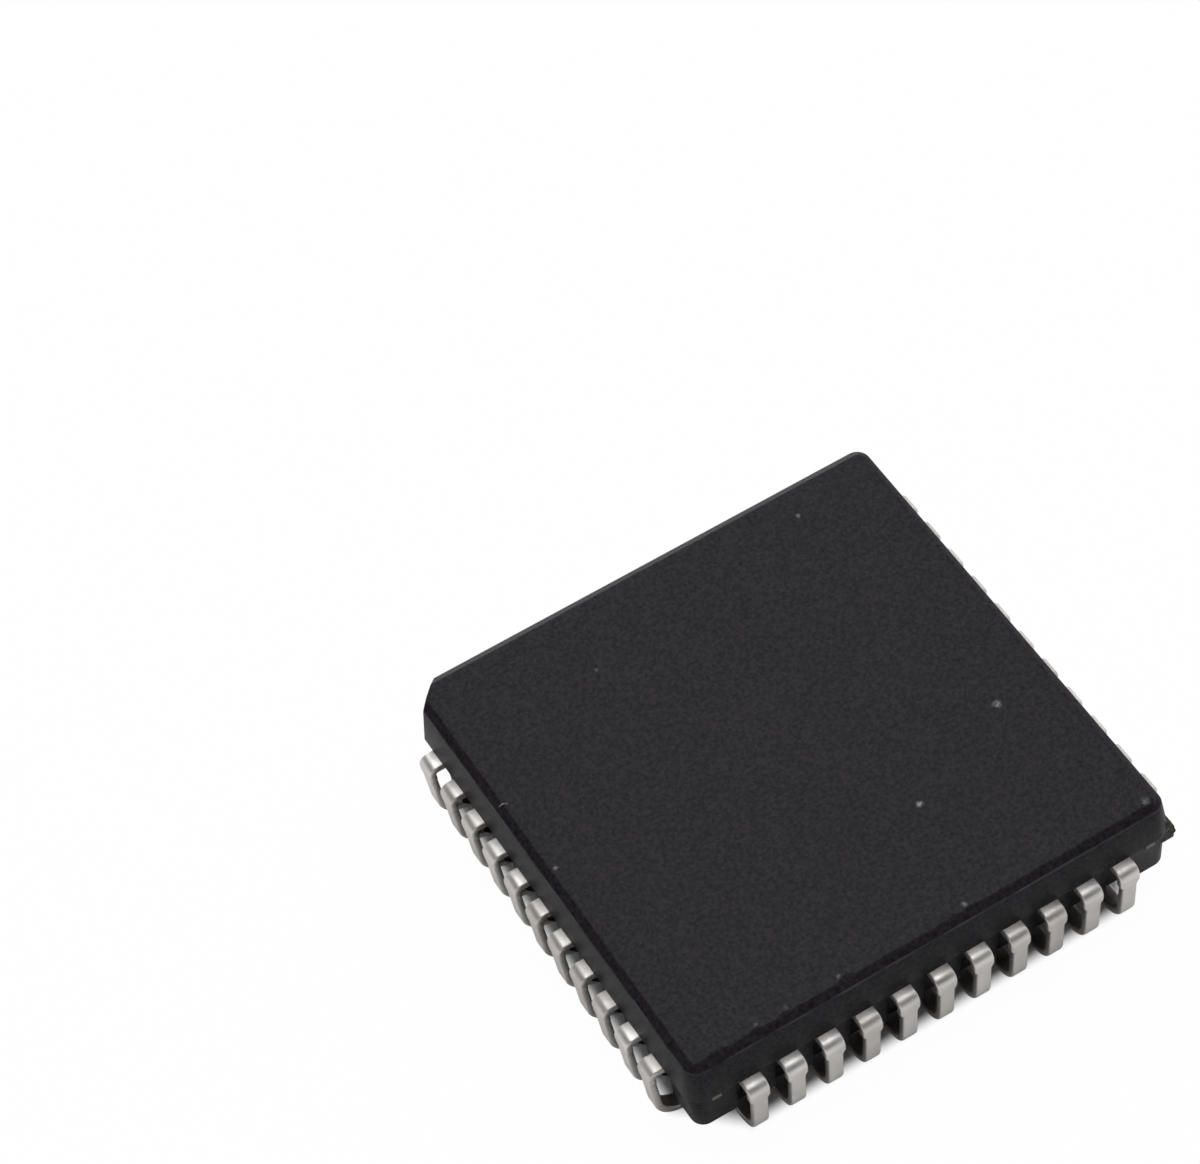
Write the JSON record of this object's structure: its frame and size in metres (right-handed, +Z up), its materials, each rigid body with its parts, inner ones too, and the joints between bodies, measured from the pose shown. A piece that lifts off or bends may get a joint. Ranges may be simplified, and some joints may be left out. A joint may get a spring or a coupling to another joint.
{
  "type": "plastic leaded chip carrier",
  "caption": "Square black plastic leaded chip carrier with a chamfered index corner and a row of J-shaped tinned leads folded under each side.",
  "frame": {"origin": "middle of the seating plane, under the lowest points of the leads", "axes": "+Z up through the top face, +Y towards the side with lead 1 in its middle, index corner at -X +Y"},
  "size_m": [0.0176, 0.0176, 0.0042],
  "materials": {
    "mould_compound": "moulded matte",
    "tin_plate": "matte tin plate",
    "die_adhesive": "silver-filled",
    "silicon": "polished",
    "gold_wire": "bright drawn"
  },
  "bodies": {
    "root": {"moulded_body": "mould_compound", "lead_01": "tin_plate", "lead_02": "tin_plate", "lead_03": "tin_plate", "lead_04": "tin_plate", "lead_05": "tin_plate", "lead_06": "tin_plate", "lead_07": "tin_plate", "lead_08": "tin_plate", "lead_09": "tin_plate", "lead_10": "tin_plate", "lead_11": "tin_plate", "lead_12": "tin_plate", "lead_13": "tin_plate", "lead_14": "tin_plate", "lead_15": "tin_plate", "lead_16": "tin_plate", "lead_17": "tin_plate", "lead_18": "tin_plate", "lead_19": "tin_plate", "lead_20": "tin_plate", "lead_21": "tin_plate", "lead_22": "tin_plate", "lead_23": "tin_plate", "lead_24": "tin_plate", "lead_25": "tin_plate", "lead_26": "tin_plate", "lead_27": "tin_plate", "lead_28": "tin_plate", "lead_29": "tin_plate", "lead_30": "tin_plate", "lead_31": "tin_plate", "lead_32": "tin_plate", "lead_33": "tin_plate", "lead_34": "tin_plate", "lead_35": "tin_plate", "lead_36": "tin_plate", "lead_37": "tin_plate", "lead_38": "tin_plate", "lead_39": "tin_plate", "lead_40": "tin_plate", "lead_41": "tin_plate", "lead_42": "tin_plate", "lead_43": "tin_plate", "lead_44": "tin_plate", "die_paddle": "tin_plate", "die_attach": "die_adhesive", "silicon_die": "silicon", "bond_wires": "gold_wire"}
  },
  "joints": []
}
